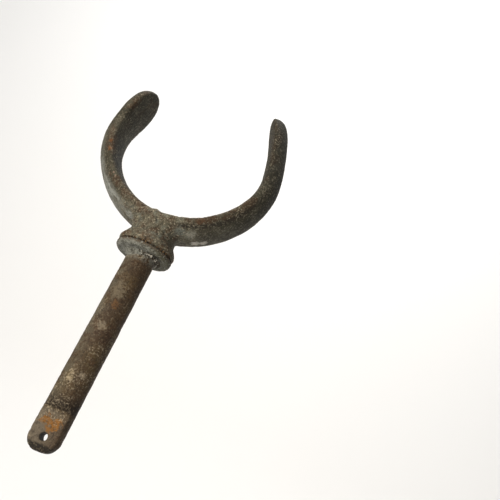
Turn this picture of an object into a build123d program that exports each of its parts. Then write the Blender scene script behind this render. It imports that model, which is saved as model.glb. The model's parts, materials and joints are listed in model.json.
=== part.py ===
from build123d import *
import math
import os

# A boat's rowlock: an open crutch with two horns that holds an oar, a collar ring that carries it on
# the gunwale socket, and a round pin that turns in the socket. Sizes are in millimetres.
# The origin is the centre of the collar's underside. +Z runs up the pin's axis to the horns, X runs
# across the horns, and the oar lies along Y.

# Pin: a round bar with two flats, a bevelled end and a lanyard hole, and a tenon above its shoulder
pin_diameter = 12.7
shoulder_width = 0.8            # step in to the tenon, level with the collar's underside
pin_drop = 83.6                 # from the collar's underside to the pin's lower end
seat_depth = 9.0                # how far the tenon goes up into the boss
flat_thickness = 7.4            # across the two flats
flat_length = 16.5              # from the lower end to the crown of the arched shoulder
end_round = 5.0                 # radius on the lower end's corner
bevel_length = 3.0              # bevel from each flat down to the lower end
bevel_end_thickness = 3.4       # what the two bevels leave at the lower end
lanyard_hole_diameter = 3.2
lanyard_hole_height = 5.3       # hole's centre above the lower end

# Collar: a ring pressed on the tenon against the boss and staked round the pin
collar_diameter = 25.2
collar_thickness = 2.5
collar_lower_round = 1.8
collar_upper_round = 0.5
groove_width = 1.2              # staking groove round the pin, in the collar's underside
groove_depth = 0.7

# Boss: a rounded foot on the collar, a waist, and a web that spreads into the throat
foot_diameter = 25.6
foot_height = 4.4
foot_bulge_height = 2.0         # where the bead is widest, above the collar
foot_edge_round = 1.0
neck_diameter = 21.4            # where the foot's bead ends
waist_diameter = 18.6
waist_height = 9.0              # above the collar
web_reach = 15.0                # half length of the web along X where it meets the throat
web_width = 21.0                # the same place, full width along Y

# Horns: the ridge line is a wide arc round the oar, then a flatter arc up to each tip
throat_height = 17.5            # ridge line above the collar's underside, on the pin's axis
throat_radius = 36.1
throat_sweep = 100.0            # degrees of the wide arc on each side of the pin
long_arm_radius = 150.0         # the +X horn's flatter arc
long_arm_sweep = 12.6           # degrees of that arc
short_arm_radius = 92.0         # the -X horn's flatter arc, which is the shorter one
short_arm_sweep = 12.9

# Horn section: a shallow crown inside the ridge, where the oar bears, and a deep half round outside
throat_width = 24.0
haunch_width = 23.4
arm_width = 21.2
tip_width = 24.0
throat_crown = 1.9
haunch_crown = 3.3
arm_crown = 2.6
tip_crown = 1.6
throat_depth = 6.1
haunch_depth = 5.6
arm_depth = 6.9
tip_depth = 7.3
haunch_distance = 28.0          # along the ridge from the throat to where the haunch is measured
arm_distance = 57.0             # the same for the arm
tip_round = 14.0                # length over which each tip is rounded off

# Fits
seat_clearance = 0.01           # radial, pressed: tenon in boss, tenon in collar

# Sections of the horn's loft
body_sections = 6               # from the throat to where a tip starts to round off
tip_section_turns = (0, 25, 45, 62, 75, 84)   # degrees round each tip's end

# Worked out from the sizes above
pin_radius = pin_diameter / 2
tenon_radius = pin_radius - shoulder_width
seat_radius = tenon_radius + seat_clearance
boss_bottom = collar_thickness
neck_height = boss_bottom + foot_height
pin_top = boss_bottom + seat_depth
lower_end = -pin_drop
spare = 1.0                     # how far each cutter runs past what it cuts


def ease(start, finish, share):
    """A value part of the way from start to finish, level at both."""
    return start + (finish - start) * share * share * (3 - 2 * share)


def blend(distance, shoulder, at_throat, at_haunch, at_arm, at_tip):
    """A size at a distance along the horn, eased between its values at throat, haunch, arm and tip."""
    if distance < haunch_distance:
        return ease(at_throat, at_haunch, distance / haunch_distance)
    if distance < arm_distance:
        return ease(at_haunch, at_arm, (distance - haunch_distance) / (arm_distance - haunch_distance))
    return ease(at_arm, at_tip, min((distance - arm_distance) / (shoulder - arm_distance), 1.0))


def horn_stations(line, outward):
    """Planes across one horn, from throat to tip, each with its section's width, crown and depth."""
    reach = line.length
    shoulder = reach - tip_round
    places = [(shoulder * step / body_sections, 0) for step in range(1, body_sections)]
    places += [(shoulder + tip_round * math.sin(math.radians(turn)), turn) for turn in tip_section_turns]
    stations = []
    for distance, turn in places:
        narrowing = math.cos(math.radians(turn))
        thinning = math.sqrt(narrowing)
        along = line % (distance / reach)
        plane = Plane(line @ (distance / reach), x_dir=(0, 1, 0), z_dir=along if outward else -along)
        stations.append(
            (
                plane,
                blend(distance, shoulder, throat_width, haunch_width, arm_width, tip_width) * narrowing,
                blend(distance, shoulder, throat_crown, haunch_crown, arm_crown, tip_crown) * thinning,
                blend(distance, shoulder, throat_depth, haunch_depth, arm_depth, tip_depth) * thinning,
            )
        )
    return stations


os.makedirs("parts", exist_ok=True)

# Crutch: horns, throat and boss in one casting, with a blind socket for the pin's tenon
with BuildLine(Plane.XZ) as long_horn:
    throat_arc = JernArc((0, throat_height), (1, 0), throat_radius, throat_sweep)
    JernArc(throat_arc @ 1, throat_arc % 1, long_arm_radius, long_arm_sweep)

with BuildLine(Plane.XZ) as short_horn:
    throat_arc = JernArc((0, throat_height), (-1, 0), throat_radius, -throat_sweep)
    JernArc(throat_arc @ 1, throat_arc % 1, short_arm_radius, -short_arm_sweep)

middle = Plane(origin=(0, 0, throat_height), x_dir=(0, 1, 0), z_dir=(1, 0, 0))
stations = list(reversed(horn_stations(short_horn.wires()[0], outward=False)))
stations.append((middle, throat_width, throat_crown, throat_depth))
stations += horn_stations(long_horn.wires()[0], outward=True)

with BuildPart() as crutch:
    for plane, width, crown, depth in stations:
        with BuildSketch(plane):
            with BuildLine():
                EllipticalCenterArc((0, 0), width / 2, depth, start_angle=180, arc_size=180)
                ThreePointArc((width / 2, 0), (0, crown), (-width / 2, 0))
            make_face()
    loft()
    # Web: the waist spreads along X into the throat
    with BuildSketch(Plane.XY.offset(neck_height)):
        Circle(neck_diameter / 2)
    with BuildSketch(Plane.XY.offset(boss_bottom + waist_height)):
        Circle(waist_diameter / 2)
    with BuildSketch(Plane.XY.offset(throat_height)):
        Ellipse(web_reach, web_width / 2)
    loft()
    # Foot: a rounded bead that stands on the collar
    with BuildSketch(Plane.XZ):
        with BuildLine():
            Polyline(
                (neck_diameter / 2, neck_height),
                (0, neck_height),
                (0, boss_bottom),
                (foot_diameter / 2 - foot_edge_round, boss_bottom),
            )
            Spline(
                (foot_diameter / 2 - foot_edge_round, boss_bottom),
                (foot_diameter / 2, boss_bottom + foot_bulge_height),
                (neck_diameter / 2, neck_height),
                tangents=[(1, 0.6), (-0.6, 1)],
            )
        make_face()
    revolve(axis=Axis.Z)
    with BuildSketch(Plane.XY.offset(boss_bottom)):
        Circle(seat_radius)
    extrude(amount=seat_depth, mode=Mode.SUBTRACT)
crutch.part.label = "crutch"
export_step(crutch.part, "parts/crutch.step")

# Collar: a flat ring with rounded edges and a V groove in its underside, just outside the pin
with BuildPart() as collar:
    with BuildSketch():
        Circle(collar_diameter / 2)
    extrude(amount=collar_thickness)
    lower_edge, upper_edge = collar.edges().filter_by(GeomType.CIRCLE).sort_by(Axis.Z)
    fillet(lower_edge, radius=collar_lower_round)
    fillet(upper_edge, radius=collar_upper_round)
    with BuildSketch():
        Circle(seat_radius)
    extrude(amount=collar_thickness, mode=Mode.SUBTRACT)
    with BuildSketch(Plane.XZ):
        with BuildLine():
            Polyline(
                (pin_radius, 0),
                (pin_radius + groove_width / 2, groove_depth),
                (pin_radius + groove_width, 0),
                close=True,
            )
        make_face()
    revolve(axis=Axis.Z, mode=Mode.SUBTRACT)
collar.part.label = "collar"
export_step(collar.part, "parts/collar.step")

# Pin: a shouldered bar with a rounded lower end, two arched flats, two bevels and a lanyard hole
with BuildPart() as pin:
    with BuildSketch(Plane.XY.offset(lower_end)):
        Circle(pin_radius)
    extrude(amount=pin_drop)
    with BuildSketch():
        Circle(tenon_radius)
    extrude(amount=pin_top)
    fillet(pin.edges().filter_by(GeomType.CIRCLE).group_by(Axis.Z)[0], radius=end_round)
    for side in (1, -1):
        # Flat: its upper shoulder is an arch as wide as the bar
        with BuildSketch(Plane.XZ.offset(side * flat_thickness / 2)):
            with Locations((0, lower_end + flat_length - pin_radius)):
                Circle(pin_radius)
                Rectangle(pin_diameter, flat_length, align=(Align.CENTER, Align.MAX))
        extrude(amount=side * pin_radius, mode=Mode.SUBTRACT)
        # Bevel from the flat to the lower end
        with BuildSketch(Plane.YZ):
            with BuildLine():
                Polyline(
                    (side * flat_thickness / 2, lower_end + bevel_length),
                    (side * bevel_end_thickness / 2, lower_end),
                    (side * bevel_end_thickness / 2, lower_end - spare),
                    (side * pin_radius, lower_end - spare),
                    (side * pin_radius, lower_end + bevel_length),
                    close=True,
                )
            make_face()
        extrude(amount=pin_radius, both=True, mode=Mode.SUBTRACT)
    with BuildSketch(Plane.XZ):
        with Locations((0, lower_end + lanyard_hole_height)):
            Circle(lanyard_hole_diameter / 2)
    extrude(amount=pin_radius, both=True, mode=Mode.SUBTRACT)
pin.part.label = "pin"
export_step(pin.part, "parts/pin.step")
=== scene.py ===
import json
import math

import bpy
import numpy as np
from mathutils import Matrix, Vector


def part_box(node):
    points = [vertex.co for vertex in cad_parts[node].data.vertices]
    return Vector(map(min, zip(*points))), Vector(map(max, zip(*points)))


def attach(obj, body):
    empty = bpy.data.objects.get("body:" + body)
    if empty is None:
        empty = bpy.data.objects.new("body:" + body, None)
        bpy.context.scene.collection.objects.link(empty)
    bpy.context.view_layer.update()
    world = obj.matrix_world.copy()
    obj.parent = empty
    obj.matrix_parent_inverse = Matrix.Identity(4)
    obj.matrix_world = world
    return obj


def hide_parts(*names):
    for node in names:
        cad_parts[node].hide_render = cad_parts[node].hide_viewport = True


bl_info = {
    "name": "Rowlock",
    "version": (1, 0, 0),
    "blender": (4, 5, 0),
    "location": "View3D > Sidebar > Rowlock",
    "description": "Builds an old galvanised rowlock: crutch, collar, pin and the zinc crumbs round the pin",
    "category": "Add Mesh",
}

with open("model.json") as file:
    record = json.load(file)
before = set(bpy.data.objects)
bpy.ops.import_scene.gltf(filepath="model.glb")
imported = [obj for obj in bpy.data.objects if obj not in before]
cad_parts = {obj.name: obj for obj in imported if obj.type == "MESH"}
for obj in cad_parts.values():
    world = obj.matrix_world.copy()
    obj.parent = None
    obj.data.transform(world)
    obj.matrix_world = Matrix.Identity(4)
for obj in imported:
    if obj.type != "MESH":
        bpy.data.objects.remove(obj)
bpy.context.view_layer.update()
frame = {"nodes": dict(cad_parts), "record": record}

MM = 0.001
BODY = "root"
PIN_RADIUS = next(m for m in frame["record"]["mounts"] if m["name"] == "pin")["dims"]["r_mm"] * MM
COLLAR_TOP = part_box("collar")[1].z
PIN_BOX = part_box("pin")
MATH = "ShaderNodeMath"

# Sockets of a Mix node: for numbers, and for colours
MIX_LOW, MIX_HIGH = 2, 3
MIX_UNDER, MIX_OVER, MIX_COLOUR = 6, 7, 2


def linear(hex_colour):
    """An sRGB hex colour as a linear RGBA tuple."""
    channels = [int(hex_colour[i : i + 2], 16) / 255 for i in (1, 3, 5)]
    return tuple(c / 12.92 if c <= 0.04045 else ((c + 0.055) / 1.055) ** 2.4 for c in channels) + (1.0,)


def add(tree, kind, inputs=(), **settings):
    """Adds a node with its settings, and fills its inputs: values, sockets, or nodes' first outputs."""
    node = tree.nodes.new(kind)
    for name, value in settings.items():
        setattr(node, name, value)
    for key, value in (inputs if isinstance(inputs, dict) else dict(enumerate(inputs))).items():
        if isinstance(value, bpy.types.Node):
            value = value.outputs[0]
        if isinstance(value, bpy.types.NodeSocket):
            tree.links.new(value, node.inputs[key])
        else:
            node.inputs[key].default_value = value
    return node


def reckon(tree, known, steps):
    """Works a sum out, written as rows of a name, an operation and its terms: numbers or earlier names."""
    for name, operation, *terms in steps:
        known[name] = add(tree, MATH, [known.get(term, term) for term in terms], operation=operation)


# ---------------------------------------------------------------- sizes and colours


class CrutchSizes(bpy.types.PropertyGroup):
    """The crutch: two horns on a wide arc round the oar, and the boss below them."""

    throat_height: bpy.props.FloatProperty(
        name="Throat height", description="Ridge line above the collar's underside",
        default=17.5 * MM, unit="LENGTH",
    )
    throat_radius: bpy.props.FloatProperty(
        name="Throat radius", description="Radius of the wide arc round the oar",
        default=36.1 * MM, unit="LENGTH",
    )
    throat_sweep: bpy.props.FloatProperty(
        name="Throat sweep", description="Half angle of the wide arc",
        default=math.radians(100), subtype="ANGLE",
    )
    long_arm_radius: bpy.props.FloatProperty(
        name="Long arm radius", description="Radius of the longer horn's upper part",
        default=150 * MM, unit="LENGTH",
    )
    long_arm_sweep: bpy.props.FloatProperty(
        name="Long arm sweep", description="Angle of that part", default=math.radians(12.6), subtype="ANGLE"
    )
    short_arm_radius: bpy.props.FloatProperty(
        name="Short arm radius", description="Radius of the shorter horn's upper part",
        default=92 * MM, unit="LENGTH",
    )
    short_arm_sweep: bpy.props.FloatProperty(
        name="Short arm sweep", description="Angle of that part", default=math.radians(12.9), subtype="ANGLE"
    )
    tip_round: bpy.props.FloatProperty(
        name="Tip round", description="Length over which each tip is rounded off",
        default=14 * MM, unit="LENGTH",
    )
    pit_depth: bpy.props.FloatProperty(
        name="Pit depth", description="Depth of the cast and rusted skin", default=0.16 * MM, unit="LENGTH"
    )


class CollarSizes(bpy.types.PropertyGroup):
    """The collar ring under the boss, with the zinc and the crumbs about it."""

    pit_depth: bpy.props.FloatProperty(
        name="Pit depth", description="Depth of the ring's corroded skin", default=0.14 * MM, unit="LENGTH"
    )
    broken_side: bpy.props.FloatProperty(
        name="Broken side",
        description="Where the zinc run round the pin is broken off, as a turn from +X",
        default=math.radians(-25),
        subtype="ANGLE",
    )
    crumb_spacing: bpy.props.FloatProperty(
        name="Crumb spacing", description="Least gap between zinc crumbs", default=0.55 * MM, unit="LENGTH"
    )
    flake_spacing: bpy.props.FloatProperty(
        name="Flake spacing", description="Least gap between rust flakes", default=0.8 * MM, unit="LENGTH"
    )


class PinSizes(bpy.types.PropertyGroup):
    """The pin's wear."""

    scale_depth: bpy.props.FloatProperty(
        name="Scale depth", description="Depth of the rust scale's pits", default=0.14 * MM, unit="LENGTH"
    )


class FinishColours(bpy.types.PropertyGroup):
    """Colours of the weathered zinc, the bare iron and the rust."""

    zinc: bpy.props.FloatVectorProperty(
        name="Weathered zinc", description="Dull zinc on the horns", size=4, subtype="COLOR",
        default=linear("#2f2c22"),
    )
    ring_zinc: bpy.props.FloatVectorProperty(
        name="Ring zinc", description="Paler zinc of the collar", size=4, subtype="COLOR",
        default=linear("#62625b"),
    )
    rust: bpy.props.FloatVectorProperty(
        name="Rust", description="Brown rust along the ridges", size=4, subtype="COLOR",
        default=linear("#39291b"),
    )
    iron: bpy.props.FloatVectorProperty(
        name="Bare iron", description="Browned iron of the pin", size=4, subtype="COLOR",
        default=linear("#35291c"),
    )


def props():
    """The scene's settings for this add-on."""
    scene = bpy.context.scene
    return scene.rowlock_crutch, scene.rowlock_collar, scene.rowlock_pin, scene.rowlock_colours


# ---------------------------------------------------------------- shared shape tools

# Voxels that fuse each piece's shapes
CRUTCH_VOXEL = 0.4 * MM
COLLAR_VOXEL = 0.24 * MM
PIN_VOXEL = 0.3 * MM

# The name of the tree that gives every piece its skin
SKIN = "weathered skin"


def mesh_object(name, vertices, faces):
    """A new mesh object from lists of points and faces, linked to the scene."""
    mesh = bpy.data.meshes.new(name)
    mesh.from_pydata([tuple(v) for v in vertices], [], faces)
    made = bpy.data.objects.new(name, mesh)
    bpy.context.scene.collection.objects.link(made)
    return made


def stacked_rings(name, rings, round_steps=96):
    """A closed solid from a stack of rings, each (height, radius along X, radius along Y)."""
    vertices = []
    for height, along_x, along_y in rings:
        for step in range(round_steps):
            turn = 2 * math.pi * step / round_steps
            vertices.append((along_x * math.cos(turn), along_y * math.sin(turn), height))
    faces = []
    for row in range(len(rings) - 1):
        for step in range(round_steps):
            after = (step + 1) % round_steps
            here, above = row * round_steps, (row + 1) * round_steps
            faces.append((here + step, here + after, above + after, above + step))
    faces.append(tuple(range(round_steps))[::-1])
    top = (len(rings) - 1) * round_steps
    faces.append(tuple(range(top, top + round_steps)))
    return mesh_object(name, vertices, faces)


def vertices_of(made):
    """An object's vertices as an array."""
    found = np.zeros(len(made.data.vertices) * 3, np.float32)
    made.data.vertices.foreach_get("co", found)
    return found.reshape(-1, 3).astype(float)


def move_vertices(made, points):
    """Puts an object's vertices at new places."""
    made.data.vertices.foreach_set("co", points.astype(np.float32).ravel())
    made.data.update()


def settle(made):
    """Replaces an object's mesh by its evaluated one, with every modifier taken up."""
    bpy.context.view_layer.update()
    graph = bpy.context.evaluated_depsgraph_get()
    mesh = bpy.data.meshes.new_from_object(made.evaluated_get(graph))
    made.modifiers.clear()
    old = made.data
    made.data = mesh
    mesh.name = made.name
    bpy.data.meshes.remove(old)
    return made


def run_tree(made, tree, values):
    """Adds a Geometry Nodes modifier, its inputs set by name through their identifiers, and takes it up."""
    modifier = made.modifiers.new(tree.name, "NODES")
    modifier.node_group = tree
    for item in tree.interface.items_tree:
        if item.item_type == "SOCKET" and item.in_out == "INPUT" and item.name in values:
            modifier[item.identifier] = values[item.name]
    return settle(made)


def new_tree(name, numbers, others=()):
    """A Geometry Nodes tree with a geometry input and output, number inputs, others, and a material input."""
    tree = bpy.data.node_groups.new(name, "GeometryNodeTree")
    tree.interface.new_socket("Geometry", in_out="INPUT", socket_type="NodeSocketGeometry")
    tree.interface.new_socket("Geometry", in_out="OUTPUT", socket_type="NodeSocketGeometry")
    inputs = [(label, "NodeSocketFloat") for label in numbers] + list(others)
    for label, kind in inputs + [("Material", "NodeSocketMaterial")]:
        tree.interface.new_socket(label, in_out="INPUT", socket_type=kind)
    return tree, tree.nodes.new("NodeGroupInput").outputs


def end_tree(tree, given, shape):
    """Realizes a tree's shape, gives it its material and sends it out."""
    whole = add(tree, "GeometryNodeRealizeInstances", [shape])
    painted = add(tree, "GeometryNodeSetMaterial", {"Geometry": whole, "Material": given["Material"]})
    add(tree, "NodeGroupOutput", [painted])
    return tree


def join(parts, name):
    """Joins objects' meshes into the first one."""
    with bpy.context.temp_override(active_object=parts[0], selected_editable_objects=parts, object=parts[0]):
        bpy.ops.object.join()
    parts[0].name = name
    return parts[0]


def remesh(made, voxel, smooth_steps):
    """Fuses an object's overlapping closed shapes into one skin and softens its steps and edges."""
    fuse = made.modifiers.new("fuse", "REMESH")
    fuse.mode = "VOXEL"
    fuse.voxel_size = voxel
    fuse.use_smooth_shade = True
    soften = made.modifiers.new("soften", "SMOOTH")
    soften.factor = 0.5
    soften.iterations = smooth_steps
    return settle(made)


def skin_tree():
    """Moves a skin along its normals: slow swells, and pits and grain that are rougher about one place."""
    numbers = (
        "Swell",
        "Swell size",
        "Pit depth",
        "Pit size",
        "Grain depth",
        "Grain size",
        "Rough radius",
        "Rough gain",
        "Seed",
    )
    tree, given = new_tree(SKIN, numbers, [("Rough centre", "NodeSocketVector")])
    place = add(tree, "GeometryNodeInputPosition")
    known = {label: given[label] for label in numbers}
    known["apart"] = add(
        tree, "ShaderNodeVectorMath", [place, given["Rough centre"]], operation="DISTANCE"
    ).outputs["Value"]
    # Each noise: its name, its input for size, its detail, and what it adds to the seed
    for name, size, detail, shift in (
        ("swells", "Swell size", 1.0, 0.0),
        ("pits", "Pit size", 2.0, 3.0),
        ("grains", "Grain size", 2.0, 7.0),
    ):
        reckon(tree, known, [("scale", "DIVIDE", 1.0, size), ("shifted", "ADD", "Seed", shift)])
        inputs = {"Vector": place, "W": known["shifted"], "Scale": known["scale"], "Detail": detail}
        inputs["Roughness"] = 0.55
        known["noise"] = add(tree, "ShaderNodeTexNoise", inputs, noise_dimensions="4D")
        reckon(tree, known, [(name, "SUBTRACT", "noise", 0.5)])
    reckon(
        tree,
        known,
        (
            ("swell", "MULTIPLY", "swells", "Swell"),
            # Only the low parts of the noise make pits
            ("low", "MINIMUM", "pits", 0.04),
            ("deep", "MULTIPLY", "low", 4.0),
            ("pit", "MULTIPLY", "deep", "Pit depth"),
            ("grain", "MULTIPLY", "grains", "Grain depth"),
            ("share", "DIVIDE", "apart", "Rough radius"),
            ("near", "SUBTRACT", 1.0, "share"),
            ("within", "MAXIMUM", "near", 0.0),
            ("gain", "MULTIPLY_ADD", "within", "Rough gain", 1.0),
            ("both", "ADD", "pit", "grain"),
            ("fine", "MULTIPLY", "both", "gain"),
            ("height", "ADD", "swell", "fine"),
        ),
    )
    outward = add(tree, "GeometryNodeInputNormal")
    offset = add(tree, "ShaderNodeVectorMath", {0: outward, "Scale": known["height"]}, operation="SCALE")
    moved = add(tree, "GeometryNodeSetPosition", {"Geometry": given["Geometry"], "Offset": offset})
    return end_tree(tree, given, moved)


def weather(made, material, seed, swell, pits, grain, rough):
    """Gives a shape its skin: a height and size each for swells, pits and grain, and where it is roughest."""
    values = {"Seed": seed, "Material": material}
    values["Swell"], values["Swell size"] = swell
    values["Pit depth"], values["Pit size"] = pits
    values["Grain depth"], values["Grain size"] = grain
    values["Rough centre"], values["Rough radius"], values["Rough gain"] = rough
    return run_tree(made, bpy.data.node_groups.get(SKIN) or skin_tree(), values)


# ---------------------------------------------------------------- crutch


# Horn section at four places along the ridge: throat, haunch, arm and tip. Widths run along the oar,
# crowns stand inwards from the ridge, and depths stand outwards.
HAUNCH_DISTANCE = 28 * MM
ARM_DISTANCE = 57 * MM
SECTION_WIDTH = tuple(v * MM for v in (24.0, 23.4, 21.2, 24.0))
SECTION_CROWN = tuple(v * MM for v in (1.9, 3.4, 2.6, 1.6))
SECTION_DEPTH = tuple(v * MM for v in (6.2, 5.7, 6.9, 7.3))
INNER_POWER = 1.75
OUTER_POWER = 1.95

# The valley that runs below each ridge along the arms, and the nub on the throat's near edge
VALLEY_PLACE = 2.6 * MM
VALLEY_WIDTH = 1.3 * MM
VALLEY_DEPTH = 0.55 * MM
VALLEY_HALF_GAP = 4.0 * MM
BOSS_REACH = 8 * MM
BOSS_MIDDLE = (0.0, -4 * MM, 11 * MM)
NUB_PLACE = (-1.2 * MM, -11.2 * MM, 18.2 * MM)
NUB_HEIGHT = 0.6 * MM
NUB_RADIUS = 1.3 * MM

# How far the boss's rough, sandy skin spreads
BOSS_SPREAD = 26 * MM

# Boss: rings from the collar up into the throat, each (height above the collar, radius along X, along Y)
BOSS_RINGS = [
    tuple(v * MM for v in ring)
    for ring in (
        (0.0, 11.4, 11.4),
        (0.6, 12.3, 12.2),
        (2.0, 12.8, 12.7),
        (3.4, 12.3, 12.2),
        (4.8, 11.3, 11.5),
        (6.5, 10.3, 10.8),
        (9.0, 10.1, 10.5),
        (11.5, 11.8, 10.9),
        (13.5, 15.0, 11.2),
        (15.2, 19.0, 11.0),
    )
]


def horn_tree():
    """Both horns as one sweep of a lens-shaped section, whose sizes follow the distance from the throat."""
    numbers = (
        "Throat height",
        "Throat radius",
        "Throat sweep",
        "Long arm radius",
        "Long arm length",
        "Short arm radius",
        "Short arm length",
        "Tip round",
    )
    tree, given = new_tree(
        "horn sweep", numbers, [("Steps along", "NodeSocketInt"), ("Steps round", "NodeSocketInt")]
    )
    known = {label: given[label] for label in numbers}
    grid = add(
        tree,
        "GeometryNodeMeshGrid",
        {
            "Size X": 2.0,
            "Size Y": 2 * math.pi,
            "Vertices X": given["Steps along"],
            "Vertices Y": given["Steps round"],
        },
    )
    spread = add(tree, "ShaderNodeSeparateXYZ", [add(tree, "GeometryNodeInputPosition")])
    known["share"], known["turn"], _ = spread.outputs
    reckon(
        tree,
        known,
        (
            ("sided", "ADD", "share", 1e-7),
            ("side", "SIGN", "sided"),
            ("is long", "GREATER_THAN", "share", 0.0),
            ("turn sine", "SINE", "turn"),
            ("turn cosine", "COSINE", "turn"),
            ("is inside", "GREATER_THAN", "turn sine", 0.0),
        ),
    )
    # Powers under 2 draw the section's edges out from an ellipse towards a lens
    for name, choice, low, high in (
        ("arm radius", "is long", known["Short arm radius"], known["Long arm radius"]),
        ("arm length", "is long", known["Short arm length"], known["Long arm length"]),
        ("power", "is inside", 2 / OUTER_POWER, 2 / INNER_POWER),
    ):
        inputs = {0: known[choice], MIX_LOW: low, MIX_HIGH: high}
        known[name] = add(tree, "ShaderNodeMix", inputs, data_type="FLOAT")
    # The ridge line: round the throat, then up the arm
    reckon(
        tree,
        known,
        (
            ("wide", "MULTIPLY", "Throat radius", "Throat sweep"),
            ("reach", "ADD", "wide", "arm length"),
            ("far", "ABSOLUTE", "share"),
            ("distance", "MULTIPLY", "far", "reach"),
            ("on throat", "MINIMUM", "distance", "wide"),
            ("first", "DIVIDE", "on throat", "Throat radius"),
            ("beyond", "SUBTRACT", "distance", "wide"),
            ("on arm", "MAXIMUM", "beyond", 0.0),
            ("second", "DIVIDE", "on arm", "arm radius"),
            ("heading", "ADD", "first", "second"),
            ("first sine", "SINE", "first"),
            ("first cosine", "COSINE", "first"),
            ("sine", "SINE", "heading"),
            ("cosine", "COSINE", "heading"),
            ("throat out", "MULTIPLY", "Throat radius", "first sine"),
            ("sines apart", "SUBTRACT", "sine", "first sine"),
            ("arm out", "MULTIPLY", "arm radius", "sines apart"),
            ("out", "ADD", "throat out", "arm out"),
            ("risen", "SUBTRACT", 1.0, "first cosine"),
            ("throat up", "MULTIPLY", "Throat radius", "risen"),
            ("cosines apart", "SUBTRACT", "first cosine", "cosine"),
            ("arm up", "MULTIPLY", "arm radius", "cosines apart"),
            ("up", "ADD", "throat up", "arm up"),
            ("shoulder", "SUBTRACT", "reach", "Tip round"),
            ("past shoulder", "SUBTRACT", "distance", "shoulder"),
            ("on tip", "MAXIMUM", "past shoulder", 0.0),
            ("tip share", "DIVIDE", "on tip", "Tip round"),
            ("past", "MINIMUM", "tip share", 1.0),
        ),
    )
    # Section sizes, eased from throat to haunch to arm to tip
    stretches = ((0.0, HAUNCH_DISTANCE), (HAUNCH_DISTANCE, ARM_DISTANCE), (ARM_DISTANCE, known["shoulder"]))
    for name, values in (("width", SECTION_WIDTH), ("crown", SECTION_CROWN), ("depth", SECTION_DEPTH)):
        known[name] = values[0]
        for (start, finish), before, after in zip(stretches, values, values[1:]):
            eased = add(
                tree,
                "ShaderNodeMapRange",
                {"Value": known["distance"], "From Min": start, "From Max": finish, "To Max": after - before},
                interpolation_type="SMOOTHSTEP",
            )
            known[name] = add(tree, MATH, [known[name], eased], operation="ADD")
    # The section falls off over the tip: in width, and later in thickness
    for name, power in (("narrowing", 2.2), ("thinning", 4.0)):
        reckon(
            tree,
            known,
            (("raised", "POWER", "past", power), ("left", "SUBTRACT", 1.0, "raised"), (name, "SQRT", "left")),
        )
    for name, value in (("reach across", "turn cosine"), ("rise", "turn sine")):
        reckon(
            tree,
            known,
            (
                ("sign", "SIGN", value),
                ("size", "ABSOLUTE", value),
                ("rounded", "POWER", "size", "power"),
                (name, "MULTIPLY", "sign", "rounded"),
            ),
        )
    reckon(
        tree,
        known,
        (
            ("half width", "MULTIPLY", "width", 0.5),
            ("narrowed", "MULTIPLY", "half width", "narrowing"),
            ("across", "MULTIPLY", "narrowed", "reach across"),
            ("above", "MAXIMUM", "rise", 0.0),
            ("below", "MINIMUM", "rise", 0.0),
            ("inner", "MULTIPLY", "above", "crown"),
            ("outer", "MULTIPLY", "below", "depth"),
            ("stand", "ADD", "inner", "outer"),
            ("inward", "MULTIPLY", "stand", "thinning"),
            ("inward out", "MULTIPLY", "sine", "inward"),
            ("far out", "SUBTRACT", "out", "inward out"),
            ("x", "MULTIPLY", "side", "far out"),
            ("inward up", "MULTIPLY", "cosine", "inward"),
            ("far up", "ADD", "up", "inward up"),
            ("z", "ADD", "far up", "Throat height"),
        ),
    )
    placed = add(tree, "ShaderNodeCombineXYZ", [known["x"], known["across"], known["z"]])
    swept = add(tree, "GeometryNodeSetPosition", {"Geometry": grid, "Position": placed})
    closed = add(tree, "GeometryNodeMergeByDistance", {"Geometry": swept, "Distance": 0.02 * MM})
    return end_tree(tree, given, closed)


def horn_place(points, sizes):
    """How far each point lies along the ridge line, with its side's sign, and how far inwards it stands."""
    centre = np.array([0.0, sizes.throat_height + sizes.throat_radius])
    side = np.where(points[:, 0] >= 0, 1.0, -1.0)
    flat = np.stack([np.abs(points[:, 0]), points[:, 2]], 1) - centre
    turn = np.arctan2(flat[:, 0], -flat[:, 1])
    along = turn * sizes.throat_radius
    inward = sizes.throat_radius - np.linalg.norm(flat, axis=1)
    sweep = sizes.throat_sweep
    for sign, radius in ((1.0, sizes.long_arm_radius), (-1.0, sizes.short_arm_radius)):
        offset = (sizes.throat_radius - radius) * np.array([math.sin(sweep), -math.cos(sweep)])
        arm = flat - offset
        arm_turn = np.arctan2(arm[:, 0], -arm[:, 1])
        upper = (side == sign) & (turn > sweep)
        along = np.where(upper, sizes.throat_radius * sweep + radius * (arm_turn - sweep), along)
        inward = np.where(upper, radius - np.linalg.norm(arm, axis=1), inward)
    return along * side, inward


def carve(crutch, sizes):
    """Cuts the shallow valley below each ridge and raises the nub left where the casting was gated."""
    points = vertices_of(crutch)
    along, inward = horn_place(points, sizes)
    beside = np.clip((np.abs(points[:, 1]) - VALLEY_HALF_GAP) / VALLEY_HALF_GAP, 0, 1)
    arms = np.clip((np.abs(along) - BOSS_REACH) / BOSS_REACH, 0, 1)
    arms *= np.clip((ARM_DISTANCE * 1.3 - np.abs(along)) / ARM_DISTANCE, 0, 1)
    valley = np.exp(-(((inward + VALLEY_PLACE) / VALLEY_WIDTH) ** 2)) * beside * arms
    points[:, 1] -= np.sign(points[:, 1]) * VALLEY_DEPTH * valley
    apart = np.linalg.norm(points - np.array(NUB_PLACE), axis=1)
    points[:, 2] += NUB_HEIGHT * np.exp(-((apart / NUB_RADIUS) ** 2))
    move_vertices(crutch, points)


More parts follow.
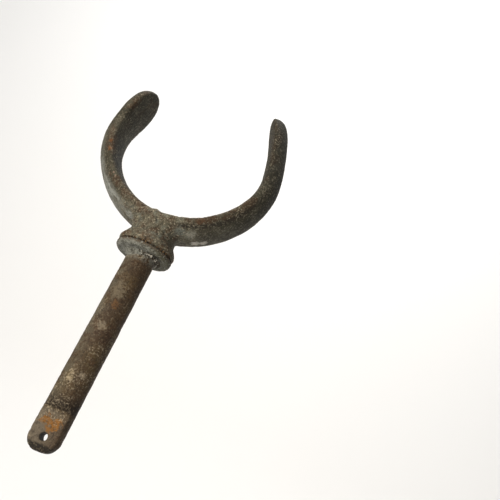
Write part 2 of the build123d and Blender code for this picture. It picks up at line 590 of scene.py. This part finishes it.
def make_crutch(sizes, material):
    """The crutch: horns swept by a rule, a turned boss, fused into one casting with a pitted skin."""
    horns = mesh_object("horns", [(0, 0, 0)], [])
    run_tree(
        horns,
        horn_tree(),
        {
            "Throat height": sizes.throat_height,
            "Throat radius": sizes.throat_radius,
            "Throat sweep": sizes.throat_sweep,
            "Long arm radius": sizes.long_arm_radius,
            "Long arm length": sizes.long_arm_radius * sizes.long_arm_sweep,
            "Short arm radius": sizes.short_arm_radius,
            "Short arm length": sizes.short_arm_radius * sizes.short_arm_sweep,
            "Tip round": sizes.tip_round,
            "Steps along": 301,
            "Steps round": 97,
            "Material": material,
        },
    )
    boss = stacked_rings("boss", [(COLLAR_TOP + z, x, y) for z, x, y in BOSS_RINGS])
    crutch = remesh(join([horns, boss], "crutch_casting"), CRUTCH_VOXEL, 9)
    carve(crutch, sizes)
    weather(
        crutch,
        material,
        4.0,
        swell=(0.5 * MM, 9 * MM),
        pits=(sizes.pit_depth, 1.5 * MM),
        grain=(0.12 * MM, 0.9 * MM),
        rough=(BOSS_MIDDLE, BOSS_SPREAD, 0.9),
    )
    for name, values in zip(("along", "inward"), horn_place(vertices_of(crutch), sizes)):
        kept = crutch.data.attributes.new(name, "FLOAT", "POINT")
        kept.data.foreach_set("value", np.asarray(values / MM, np.float32))
    return crutch


# ---------------------------------------------------------------- collar


def clean_copy(node, name):
    """A merged copy of a CAD node's mesh as a new object."""
    made = bpy.data.objects.new(name, frame["nodes"][node].data.copy())
    bpy.context.scene.collection.objects.link(made)
    merge = made.modifiers.new("merge", "WELD")
    merge.merge_threshold = 0.002 * MM
    return settle(made)


def zinc_run(broken_side):
    """The fillet of zinc that ran down round the pin under the ring, thick but for its broken side."""
    # Radius and height, in millimetres, of each corner of its section
    inner = 6.38
    profile = ((inner, -2.9), (6.6, -2.8), (6.9, -1.8), (7.4, -1.0), (8.3, -0.35), (9.8, 0.2), (9.2, 0.8))
    profile += ((inner, 0.8),)
    steps, count = 120, len(profile)
    points = []
    faces = []
    for step in range(steps):
        turn = 2 * math.pi * step / steps
        thick = 0.5 - 0.5 * math.cos(turn - broken_side)
        thick = 0.12 + 0.88 * min(thick * 1.6, 1.0) + 0.1 * math.sin(5 * turn) * math.sin(2 * turn + 1)
        for radius, height in profile:
            out = (inner + (radius - inner) * (0.35 + 0.65 * thick)) * MM
            drop = (height * thick if height < 0 else height) * MM
            points.append((out * math.cos(turn), out * math.sin(turn), drop))
        here, after = step * count, (step + 1) % steps * count
        for corner in range(count):
            beyond = (corner + 1) % count
            faces.append((here + corner, here + beyond, after + beyond, after + corner))
    run = mesh_object("zinc_run", points, faces)
    run.data.flip_normals()
    return run


def make_collar(sizes, material):
    """The collar: the ring and the zinc run under it, fused, with a corroded skin."""
    ring = join([clean_copy("collar", "ring"), zinc_run(sizes.broken_side)], "collar_ring")
    return weather(
        remesh(ring, COLLAR_VOXEL, 8),
        material,
        23.0,
        swell=(0.5 * MM, 5 * MM),
        pits=(sizes.pit_depth, 1.4 * MM),
        grain=(0.14 * MM, 0.8 * MM),
        rough=((4.0 * MM, -6.0 * MM, 0.0), 9 * MM, 1.0),
    )


# ---------------------------------------------------------------- pin


# Pin: where its flats begin and how they are forged
LOWER_END = PIN_BOX[0].z
END_ROUND = 5.0 * MM
FLAT_HALF_THICKNESS = 3.7 * MM
FLAT_TOP = LOWER_END + 17.4 * MM
FLAT_RAMP = 2.8 * MM
BEVEL_LENGTH = 3.0 * MM
BEVEL_END_HALF = 1.7 * MM
HOLE_PLACE = LOWER_END + 5.3 * MM
HOLE_RADIUS = 1.5 * MM
TENON_RADIUS = PIN_RADIUS - 0.8 * MM


def make_pin(sizes, material):
    """The pin: a round bar whose flats ramp in as forged flats do, with a drilled hole and a rusted skin."""
    rounded = LOWER_END + END_ROUND * (1 - np.cos(np.linspace(0.12, math.pi / 2, 14)))
    straight = np.linspace(LOWER_END + END_ROUND, -0.02 * MM, 200)[1:]
    heights = np.concatenate([rounded, straight])
    drop = np.clip(END_ROUND - (heights - LOWER_END), 0, None)
    radii = PIN_RADIUS - END_ROUND + np.sqrt(END_ROUND**2 - drop**2)
    rings = [(z, r, r) for z, r in zip(heights, radii)]
    rings += [(z, TENON_RADIUS, TENON_RADIUS) for z in (0.0, PIN_BOX[1].z)]
    pin = stacked_rings("pin_bar", rings)

    points = vertices_of(pin)
    ramp_share = np.clip((FLAT_TOP - points[:, 2]) / FLAT_RAMP, 0, 1)
    limit = PIN_RADIUS + (FLAT_HALF_THICKNESS - PIN_RADIUS) * np.sin(ramp_share * math.pi / 2)
    bevel_share = np.clip((LOWER_END + BEVEL_LENGTH - points[:, 2]) / BEVEL_LENGTH, 0, 1)
    limit -= (FLAT_HALF_THICKNESS - BEVEL_END_HALF) * bevel_share
    points[:, 1] = np.clip(points[:, 1], -limit, limit)
    move_vertices(pin, points)

    drill = stacked_rings("drill", [(z, HOLE_RADIUS, HOLE_RADIUS) for z in (-PIN_RADIUS, PIN_RADIUS)], 48)
    drill.data.transform(Matrix.Translation((0, 0, HOLE_PLACE)) @ Matrix.Rotation(math.pi / 2, 4, "X"))
    cut = pin.modifiers.new("hole", "BOOLEAN")
    cut.operation = "DIFFERENCE"
    cut.object = drill
    settle(pin)
    bpy.data.objects.remove(drill)
    return weather(
        remesh(pin, PIN_VOXEL, 7),
        material,
        11.0,
        swell=(0.35 * MM, 6 * MM),
        pits=(sizes.scale_depth, 1.6 * MM),
        grain=(0.09 * MM, 0.8 * MM),
        rough=((0.0, 0.0, LOWER_END), 20 * MM, 0.5),
    )


# ---------------------------------------------------------------- crumbs


def crumb_tree():
    """Scatters lumpy crumbs over a guide surface and turns each one its own way."""
    tree, given = new_tree("crumbs", ("Spacing", "Smallest", "Largest"), [("Seed", "NodeSocketInt")])
    seed = given["Seed"]
    spots = add(
        tree,
        "GeometryNodeDistributePointsOnFaces",
        {"Mesh": given["Geometry"], "Distance Min": given["Spacing"], "Density Max": 4.0e6, "Seed": seed},
        distribute_method="POISSON",
    )
    grain = add(tree, "GeometryNodeMeshIcoSphere", {"Radius": 1.0, "Subdivisions": 2})
    lump = add(tree, "ShaderNodeTexNoise", {"Scale": 1.3, "Detail": 1.0}).outputs["Color"]
    centred = add(tree, "ShaderNodeVectorMath", [lump, (0.5, 0.5, 0.5)], operation="SUBTRACT")
    lumpy = add(tree, "GeometryNodeSetPosition", {"Geometry": grain, "Offset": centred})
    turned = add(
        tree, "FunctionNodeRandomValue", {"Max": (2 * math.pi,) * 3, "Seed": seed}, data_type="FLOAT_VECTOR"
    )
    sizes = {2: given["Smallest"], 3: given["Largest"], "Seed": seed}
    sized = add(tree, "FunctionNodeRandomValue", sizes, data_type="FLOAT").outputs[1]
    placed = add(
        tree,
        "GeometryNodeInstanceOnPoints",
        {"Points": spots, "Instance": lumpy, "Rotation": turned, "Scale": sized},
    )
    return end_tree(tree, given, placed)


def sector(name, inner, outer, low, high, start, finish):
    """A strip of a cone round the pin, between two angles in degrees, for crumbs to lie on."""
    steps = 40
    points = []
    for step in range(steps + 1):
        turn = math.radians(start + (finish - start) * step / steps)
        for radius, height in ((inner, low), (outer, high)):
            points.append((radius * MM * math.cos(turn), radius * MM * math.sin(turn), height * MM))
    faces = [(2 * i, 2 * i + 2, 2 * i + 3, 2 * i + 1) for i in range(steps)]
    return mesh_object(name, points, faces)


# ---------------------------------------------------------------- materials


def surface(name, roughness, metallic):
    """A matt material: its shader tree, its shader, and the place on the object."""
    material = bpy.data.materials.new(name)
    material.use_nodes = True
    tree = material.node_tree
    tree.nodes.clear()
    shader = add(
        tree,
        "ShaderNodeBsdfPrincipled",
        {"Roughness": roughness, "Metallic": metallic, "Specular IOR Level": 0.16},
    )
    add(tree, "ShaderNodeOutputMaterial", {"Surface": shader})
    return material, tree, shader, add(tree, "ShaderNodeTexCoord").outputs["Object"]


def patches(tree, where, size, low, high, detail=4.0, roughness=0.6):
    """A mask of patches of about the given size: 0 below low, 1 above high."""
    inputs = {"Vector": where, "Scale": 1 / size, "Detail": detail, "Roughness": roughness}
    noise = add(tree, "ShaderNodeTexNoise", inputs)
    ends = {"Value": noise, "From Min": low, "From Max": high}
    return add(tree, "ShaderNodeMapRange", ends, interpolation_type="SMOOTHSTEP")


def coat(tree, under, paint, *zones):
    """Lays paint over a colour where zones meet: masks, shares, or a value and where it eases from 0 to 1."""
    mask = None
    for zone in zones:
        if isinstance(zone, tuple):
            inputs = dict(zip(("Value", "From Min", "From Max"), zone))
            zone = add(tree, "ShaderNodeMapRange", inputs, interpolation_type="SMOOTHSTEP")
        mask = zone if mask is None else add(tree, MATH, [mask, zone], operation="MULTIPLY")
    paint = linear(paint) if isinstance(paint, str) else tuple(paint)
    inputs = {0: mask, MIX_UNDER: under, MIX_OVER: paint}
    return add(tree, "ShaderNodeMix", inputs, data_type="RGBA").outputs[MIX_COLOUR]


def spot(tree, where, centre, radius, ragged=0.5):
    """The zone of a ragged round mark about a point; the point and the radius are in millimetres."""
    radius *= MM
    centre = tuple(v * MM for v in centre)
    apart = add(tree, "ShaderNodeVectorMath", [where, centre], operation="DISTANCE").outputs["Value"]
    noise = add(tree, "ShaderNodeTexNoise", {"Vector": where, "Scale": 1 / (0.5 * radius), "Detail": 3.0})
    known = {"apart": apart, "noise": noise}
    reckon(
        tree,
        known,
        (
            ("wander", "SUBTRACT", "noise", 0.5),
            ("scaled", "MULTIPLY", "wander", 2 * ragged * radius),
            ("distance", "ADD", "apart", "scaled"),
        ),
    )
    return known["distance"], radius, 0.45 * radius


def sandy(tree, where, colour, dark, pale, size, share):
    """Sandy speckle of a rusted, salted skin: dark pits and pale grains over a colour."""
    colour = coat(tree, colour, dark, patches(tree, where, size, 0.5, 0.62, 3.0), share)
    lifted = add(tree, "ShaderNodeVectorMath", [where, (0.31, 0.17, 0.23)])
    return coat(tree, colour, pale, patches(tree, lifted, 0.8 * size, 0.53, 0.64, 3.0), share)


def pitted(tree, shader, where, colour):
    """Gives a shader its colour, and pits too fine for the mesh as a bump."""
    tree.links.new(colour, shader.inputs["Base Color"])
    inputs = {"Vector": where, "Scale": 1 / (0.7 * MM), "Detail": 5.0, "Roughness": 0.7}
    pits = add(tree, "ShaderNodeTexNoise", inputs)
    bump = add(tree, "ShaderNodeBump", {"Height": pits, "Distance": 0.2 * MM, "Strength": 1.0})
    tree.links.new(bump.outputs[0], shader.inputs["Normal"])


# Marks on the casting, in millimetres: along the ridge line (minus is the shorter horn), inwards from it,
# along the oar (minus is the front), and radius; then the colour
CASTING_MARKS = (
    # Orange rust halfway up the shorter horn
    (-41, -1, -12, 2.0, "#543317"),
    (-45, -1, -12, 2.0, "#4f3118"),
    # Chips of pale zinc salts lower down
    (-33, -1, -12, 0.6, "#a39a8a"),
    (-28, -1, -12, 0.8, "#80665a"),
    (-26, -1, -12, 0.9, "#877366"),
    # White bloom in both armpits of the boss
    (-11, -5, -5, 3.0, "#6b6c66"),
    (16, -6, 1, 2.6, "#938f85"),
    (19, -6, 1, 2.4, "#8d8980"),
    (10, -5, -8, 3.4, "#54564f"),
    (14, -5, -6, 3.0, "#6d6b60"),
    # Brown rust on the front ridge beside the boss
    (18, -1, -12, 3.0, "#3f2e1f"),
)


def by_ridge(along, inward, across):
    """The place, in millimetres, so far along the throat's arc, inwards from it and along the oar."""
    sizes = props()[0]
    radius, bottom = sizes.throat_radius / MM, sizes.throat_height / MM
    turn = along / radius
    reach = radius - inward
    return reach * math.sin(turn), across, bottom + radius - reach * math.cos(turn)


def galvanised_casting(colours):
    """Iron dipped in zinc, weathered outdoors: dull olive-grey, matt, browned where rust is through."""
    material, tree, shader, where = surface("weathered_galvanised_casting", 0.7, 0.1)
    along, inward = (
        add(tree, "ShaderNodeAttribute", attribute_name=name).outputs["Fac"] for name in ("along", "inward")
    )
    height = add(tree, "ShaderNodeSeparateXYZ", [where]).outputs[2]
    apart = add(tree, "ShaderNodeVectorMath", [where, BOSS_MIDDLE], operation="DISTANCE").outputs["Value"]
    boss = (apart, BOSS_SPREAD, 9 * MM)
    colour = coat(tree, tuple(colours.zinc), "#3e3b30", patches(tree, where, 7 * MM, 0.45, 0.65))
    # Blue-grey on the outside of the shorter horn, drawn out along it: partly zinc bloom, partly a painted
    # highlight
    drawn = add(tree, MATH, [along, 0.15], operation="MULTIPLY")
    streaks = add(tree, "ShaderNodeCombineXYZ", [inward, drawn, 0.0])
    streaks = add(tree, "ShaderNodeTexNoise", {"Vector": streaks, "Scale": 1.2, "Detail": 4.0})
    bloom_and_highlight = ((along, -56, -20), (along, -6, -13), (inward, -2.6, -4.6), (streaks, 0.2, 0.62))
    colour = coat(tree, colour, "#7c7e79", *bloom_and_highlight, 0.85)
    # Painted shade on the inner face, from the throat up the shorter horn
    colour = coat(tree, colour, "#15130e", (along, -56, -40), (along, 6, -8), (inward, 0.2, 1.2), 0.6)
    # Smoother strip on the inner edge of the longer horn
    colour = coat(tree, colour, "#2b2b23", (along, 26, 44), (inward, -1.6, 0.2), 0.45)
    # Tan, sandy skin over the boss and throat
    colour = coat(tree, colour, "#4d493c", boss, 0.95)
    colour = coat(tree, colour, "#54544a", boss, patches(tree, where, 4.5 * MM, 0.5, 0.64))
    colour = coat(tree, colour, "#3b3024", boss, patches(tree, where, 3.2 * MM, 0.48, 0.62))
    # Browner just above the seam with the ring, and painted shade in the seam
    foot = patches(tree, where, 3.5 * MM, 0.4, 0.56)
    colour = coat(tree, colour, "#473828", (height, 9 * MM, 5 * MM), foot, 0.85)
    # Painted shade in the crevice at the seam
    colour = coat(tree, colour, "#1f1912", (height, COLLAR_TOP + 1.1 * MM, COLLAR_TOP + 0.3 * MM), 0.8)
    # Rust along the ridges, in broken stretches
    broken = patches(tree, where, 6 * MM, 0.44, 0.6)
    colour = coat(tree, colour, colours.rust, (inward, -4.6, -1.2), (inward, 2.6, 0.4), broken, 0.7)
    # A painted shadow line in the valley under the longer horn's ridge
    valley = ((inward, -4.2, -3.0), (inward, -1.8, -2.7), (along, 4, 12), (along, 60, 36))
    colour = coat(tree, colour, "#17140f", *valley, 0.75)
    # Painted shade darkens the outer half of the longer horn, and its tip
    known = {}
    for name, value, start, finish, top in (
        ("up the arm", along, 22, 50, 1.0),
        ("outer half", inward, -3.2, -5.8, 0.75),
        ("tip", along, 40, 62, 0.6),
    ):
        inputs = {"Value": value, "From Min": start, "From Max": finish, "To Max": top}
        known[name] = add(tree, "ShaderNodeMapRange", inputs, interpolation_type="SMOOTHSTEP")
    reckon(tree, known, (("arm", "MULTIPLY", "up the arm", "outer half"), ("shade", "MAXIMUM", "arm", "tip")))
    colour = coat(tree, colour, "#18160f", known["shade"])
    for along_at, inward_at, across_at, radius, paint in CASTING_MARKS:
        centre = by_ridge(along_at, inward_at, across_at)
        colour = coat(tree, colour, paint, spot(tree, where, centre, radius))
    # Sandy grain, coarser and paler about the boss
    colour = sandy(tree, where, colour, "#11100b", "#726d5e", 1.0 * MM, 0.42)
    loose = patches(tree, where, 9 * MM, 0.46, 0.6, 2.0)
    salts = patches(tree, where, 0.75 * MM, 0.54, 0.66, 4.0, 0.65)
    colour = coat(tree, colour, "#8f8775", loose, (inward, -4.5, -1.5), salts, 0.6)
    colour = coat(tree, colour, "#9a917d", boss, patches(tree, where, 0.8 * MM, 0.55, 0.66, 4.0, 0.65), 0.6)
    colour = coat(tree, colour, "#16120c", boss, patches(tree, where, 1.3 * MM, 0.53, 0.66, 4.0, 0.65), 0.7)
    pitted(tree, shader, where, colour)
    return material


# Marks on the pin: millimetres above its lower end, degrees round it from the front towards +X, radius in
# millimetres, and colour
PIN_MARKS = (
    # Two chips of tan scale, a third of the way up
    (27, -11, 1.5, "#6d614b"),
    (29, -13, 1.1, "#6e624d"),
    (29, 26, 1.7, "#63594a"),
    # Grey patches higher up, with browner iron between them
    (49, 0, 2.6, "#5f5546"),
    (65, -6, 4.0, "#514839"),
    (59, 10, 2.2, "#4b351f"),
    (46, 38, 5.0, "#33261a"),
)

# Ochre rust on the front flat: millimetres above the lower end, millimetres towards +X, radius, colour
FLAT_MARKS = (
    (11, -2, 2.4, "#64431c"),
    (10, 2, 2.8, "#6a461a"),
    (8, 0.5, 1.5, "#63431d"),
)


def round_pin(height, turn):
    """The place, in millimetres, on the pin, so far above its lower end and so far round from the front."""
    radius, turn = PIN_RADIUS / MM, math.radians(turn)
    return radius * math.sin(turn), -radius * math.cos(turn), LOWER_END / MM + height


def on_flat(height, side):
    """The place, in millimetres, on the pin's front flat."""
    return side, -FLAT_HALF_THICKNESS / MM, LOWER_END / MM + height


def bare_iron(colours):
    """Wrought bar, its zinc worn off by the socket: flecked brown rust, greyer where zinc is left."""
    material, tree, shader, where = surface("rust_browned_iron_bar", 0.66, 0.1)
    right, behind, height = add(tree, "ShaderNodeSeparateXYZ", [where]).outputs
    colour = coat(tree, tuple(colours.iron), "#403420", patches(tree, where, 8 * MM, 0.4, 0.62))
    # Greenish grey of the zinc left along one side
    worn = patches(tree, where, 5 * MM, 0.34, 0.56)
    colour = coat(tree, colour, "#4c473b", (right, 0.5 * MM, -5.0 * MM), worn, 0.9)
    colour = coat(tree, colour, colours.rust, patches(tree, where, 4 * MM, 0.48, 0.62), 0.7)
    # Zinc still on the first few millimetres under the ring
    left_on = patches(tree, where, 1.6 * MM, 0.36, 0.54)
    colour = coat(tree, colour, "#65645c", (height, -5.0 * MM, -1.0 * MM), left_on)
    # The flats: greyer, and painted shade in the corner above them
    depth = add(tree, MATH, [behind], operation="ABSOLUTE")
    flats = ((height, FLAT_TOP - 1.8 * MM, FLAT_TOP - 3.2 * MM), (depth, 4.6 * MM, 3.9 * MM))
    colour = coat(tree, colour, "#50483c", *flats, (right, 7 * MM, -3 * MM))
    # Painted shade under the shoulder where the flats begin
    from_below = (height, FLAT_TOP - 2.6 * MM, FLAT_TOP - 1.4 * MM)
    from_above = (height, FLAT_TOP + 5 * MM, FLAT_TOP - 0.5 * MM)
    colour = coat(tree, colour, "#1c150e", from_below, from_above, 0.9)
    marks = [(round_pin(above, turn), *rest) for above, turn, *rest in PIN_MARKS]
    marks += [(on_flat(above, side), *rest) for above, side, *rest in FLAT_MARKS]
    for centre, radius, paint in marks:
        colour = coat(tree, colour, paint, spot(tree, where, centre, radius, 1.3))
    # The dark rim of the lower end
    colour = coat(tree, colour, "#100d09", (height, LOWER_END + 3.2 * MM, LOWER_END + 2.2 * MM), 0.9)
    # Sandy grain, with tan and grey flecks in loose bands round the bar
    colour = sandy(tree, where, colour, "#120e0a", "#5f5545", 1.0 * MM, 0.45)
    squashed = add(tree, "ShaderNodeVectorMath", [where, (0.6, 0.6, 1.0)], operation="MULTIPLY")
    bands = patches(tree, squashed, 8 * MM, 0.47, 0.62, 2.0)
    colour = coat(tree, colour, "#8f836e", bands, patches(tree, where, 0.8 * MM, 0.52, 0.63, 4.0, 0.7), 0.55)
    pitted(tree, shader, where, colour)
    return material


def galvanised_ring(colours):
    """Zinc-dipped ring: paler, bluish zinc bloom, matt, with dirt and rust at its edge, and painted shade on
    its +X side, in the seam along its top edge and in the corner round the pin.
    """
    material, tree, shader, where = surface("weathered_zinc_ring", 0.72, 0.1)
    right, _, height = add(tree, "ShaderNodeSeparateXYZ", [where]).outputs
    colour = coat(tree, tuple(colours.ring_zinc), "#45443d", patches(tree, where, 3 * MM, 0.42, 0.62))
    # Painted shade: the ring is darker on its +X side, away from the key light
    colour = coat(tree, colour, "#3f3c2e", (right, 1 * MM, 9 * MM), 0.85)
    # Dirt in the seam above; painted shade along the ring's top edge in the seam and, where the zinc run has
    # gone, in the corner round the pin
    dirt = patches(tree, where, 2.5 * MM, 0.3, 0.5)
    colour = coat(tree, colour, "#463c2f", (height, 0.8 * MM, 1.7 * MM), dirt, 0.9)
    # Painted shade in the seam along the top edge
    edge = (height, COLLAR_TOP - 0.7 * MM, COLLAR_TOP - 0.1 * MM)
    colour = coat(tree, colour, "#1f1812", edge, (right, -11 * MM, -5 * MM), 0.85)
    # Painted shade in the corner round the pin, where the zinc run has gone
    corner = tuple(v * MM for v in (5.6, -4.6, -1.0))
    apart = add(tree, "ShaderNodeVectorMath", [where, corner], operation="DISTANCE").outputs["Value"]
    colour = coat(tree, colour, "#14120e", (apart, 4.2 * MM, 2.4 * MM), 0.85)
    colour = sandy(tree, where, colour, "#171510", "#80817a", 1.05 * MM, 0.5)
    pitted(tree, shader, where, colour)
    return material


def loose_crumb(name, pale, dark, high):
    """Crumbs of corrosion, quite matt, in two patchy colours."""
    material, tree, shader, where = surface(name, 0.85, 0.0)
    colour = coat(tree, linear(pale), dark, patches(tree, where, 1.5 * MM, 0.44, high))
    tree.links.new(colour, shader.inputs["Base Color"])
    return material


# ---------------------------------------------------------------- stage


# Camera: a close view from below and in front, aimed beside the longer horn and rolled so that the pin leans
CAMERA_PLACE = Vector((54.6, -207.8, -74.1)) * MM
CAMERA_AIM = Vector((41.2, 0, 22.3)) * MM
CAMERA_ROLL = math.radians(23.5)
CAMERA_LENS = 37.4
SENSOR_WIDTH = 36.0

# Light: an even room, a soft key from the upper left of the view, and a lamp that washes the wall only
ROOM_LIGHT = 0.4
KEY_PLACE = Vector((-0.32, -0.60, -0.07))
KEY_WATTS = 7.4
WALL_WATTS = 38.0


def area_light(name, place, target, size, watts, tint):
    """A soft square lamp that points at a target."""
    lamp = bpy.data.lights.new(name, "AREA")
    lamp.shape = "SQUARE"
    lamp.size = size
    lamp.energy = watts
    lamp.color = linear(tint)[:3]
    made = bpy.data.objects.new(name, lamp)
    made.location = place
    made.rotation_mode = "QUATERNION"
    made.rotation_quaternion = (target - place).to_track_quat("-Z", "Y")
    bpy.context.scene.collection.objects.link(made)


# ---------------------------------------------------------------- operators


class ROWLOCK_OT_crutch(bpy.types.Operator):
    """Builds the crutch casting"""

    bl_idname = "rowlock.crutch"
    bl_label = "Crutch"

    def execute(self, context):
        sizes, _, _, colours = props()
        crutch = make_crutch(sizes, galvanised_casting(colours))
        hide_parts("crutch")
        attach(crutch, BODY)
        return {"FINISHED"}


class ROWLOCK_OT_collar(bpy.types.Operator):
    """Builds the collar ring"""

    bl_idname = "rowlock.collar"
    bl_label = "Collar"

    def execute(self, context):
        _, sizes, _, colours = props()
        ring = make_collar(sizes, galvanised_ring(colours))
        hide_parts("collar")
        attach(ring, BODY)
        return {"FINISHED"}


class ROWLOCK_OT_pin(bpy.types.Operator):
    """Builds the pin with worn edges and a rusted skin"""

    bl_idname = "rowlock.pin"
    bl_label = "Pin"

    def execute(self, context):
        _, _, sizes, colours = props()
        pin = make_pin(sizes, bare_iron(colours))
        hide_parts("pin")
        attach(pin, BODY)
        return {"FINISHED"}


class ROWLOCK_OT_crumbs(bpy.types.Operator):
    """Scatters the crumbs of zinc and rust caught round the pin and in the seam above the collar"""

    bl_idname = "rowlock.crumbs"
    bl_label = "Crumbs"

    def execute(self, context):
        _, sizes, _, _ = props()
        tree = crumb_tree()
        zinc = sector("zinc_crumbs", 6.5, 8.4, -0.9, -0.1, -95, 40)
        chalk = loose_crumb("chalky_zinc_crumb", "#98948a", "#3d382f", 0.54)
        rust = sector("rust_crumbs", 11.6, 12.3, 3.3, 2.7, -150, 10)
        flake = loose_crumb("rust_flake", "#57432c", "#241c13", 0.58)
        for guide, spacing, smallest, largest, seed, material in (
            (zinc, sizes.crumb_spacing, 0.18 * MM, 0.42 * MM, 3, chalk),
            (rust, sizes.flake_spacing, 0.2 * MM, 0.45 * MM, 8, flake),
        ):
            values = {"Spacing": spacing, "Smallest": smallest, "Largest": largest, "Seed": seed}
            run_tree(guide, tree, {**values, "Material": material})
            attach(guide, BODY)
        return {"FINISHED"}


class ROWLOCK_OT_stage(bpy.types.Operator):
    """Sets the floor and backdrop, the soft lights and the camera"""

    bl_idname = "rowlock.stage"
    bl_label = "Stage"

    def execute(self, context):
        scene = bpy.context.scene
        camera = bpy.data.objects.new("camera", bpy.data.cameras.new("camera"))
        camera.data.lens = CAMERA_LENS
        camera.data.sensor_width = SENSOR_WIDTH
        camera.data.clip_start = 0.01
        camera.data.clip_end = 20
        camera.rotation_mode = "QUATERNION"
        aimed = (CAMERA_AIM - CAMERA_PLACE).to_track_quat("-Z", "Y")
        camera.rotation_quaternion = aimed @ Matrix.Rotation(CAMERA_ROLL, 4, "Z").to_quaternion()
        camera.location = CAMERA_PLACE
        scene.collection.objects.link(camera)
        scene.camera = camera
        scene.view_settings.view_transform = "Standard"

        # Floor and wall in one curved sheet
        half_width, near, floor, wall, top, bend, steps = 4.0, -4.0, -0.5, 1.3, 4.0, 0.6, 12
        line = [(near, floor), (wall - bend, floor)]
        for step in range(1, steps + 1):
            turn = math.radians(90 * step / steps)
            line.append((wall - bend + bend * math.sin(turn), floor + bend - bend * math.cos(turn)))
        line.append((wall, top))
        points = [(side * half_width, y, z) for y, z in line for side in (-1, 1)]
        faces = [(2 * i, 2 * i + 1, 2 * i + 3, 2 * i + 2) for i in range(len(line) - 1)]
        sheet = mesh_object("studio_cove", points, faces)
        sheet.data.polygons.foreach_set("use_smooth", [True] * len(sheet.data.polygons))
        paper, _, shader, _ = surface("pale_paper", 0.9, 0.0)
        shader.inputs["Base Color"].default_value = linear("#f2f1ef")
        sheet.data.materials.append(paper)

        world = bpy.data.worlds.new("soft_room")
        world.use_nodes = True
        background = world.node_tree.nodes["Background"]
        background.inputs["Color"].default_value = linear("#ffffff")
        background.inputs["Strength"].default_value = ROOM_LIGHT
        scene.world = world
        target = Vector((0, 0, 0.02))
        area_light("key", KEY_PLACE, target, 0.35, KEY_WATTS, "#fff6e9")
        area_light("wall_wash", Vector((0, -0.2, 2.0)), Vector((0, 1.3, 0.3)), 1.6, WALL_WATTS, "#ffffff")
        return {"FINISHED"}


class ROWLOCK_PT_panel(bpy.types.Panel):
    """Lists the rowlock's pieces"""

    bl_idname = "ROWLOCK_PT_panel"
    bl_label = "Rowlock"
    bl_space_type = "VIEW_3D"
    bl_region_type = "UI"
    bl_category = "Rowlock"

    def draw(self, context):
        for step in STEPS:
            self.layout.operator(step.bl_idname)


STEPS = (ROWLOCK_OT_stage, ROWLOCK_OT_crutch, ROWLOCK_OT_collar, ROWLOCK_OT_pin, ROWLOCK_OT_crumbs)
GROUPS = (
    ("rowlock_crutch", CrutchSizes),
    ("rowlock_collar", CollarSizes),
    ("rowlock_pin", PinSizes),
    ("rowlock_colours", FinishColours),
)


def register():
    for name, group in GROUPS:
        bpy.utils.register_class(group)
        setattr(bpy.types.Scene, name, bpy.props.PointerProperty(type=group))
    for step in STEPS:
        bpy.utils.register_class(step)
    bpy.utils.register_class(ROWLOCK_PT_panel)


def unregister():
    bpy.utils.unregister_class(ROWLOCK_PT_panel)
    for step in reversed(STEPS):
        bpy.utils.unregister_class(step)
    for name, group in reversed(GROUPS):
        delattr(bpy.types.Scene, name)
        bpy.utils.unregister_class(group)


def main():
    register()
    bpy.ops.rowlock.stage()
    bpy.ops.rowlock.crutch()
    bpy.ops.rowlock.collar()
    bpy.ops.rowlock.pin()
    bpy.ops.rowlock.crumbs()


if __name__ == "__main__":
    main()
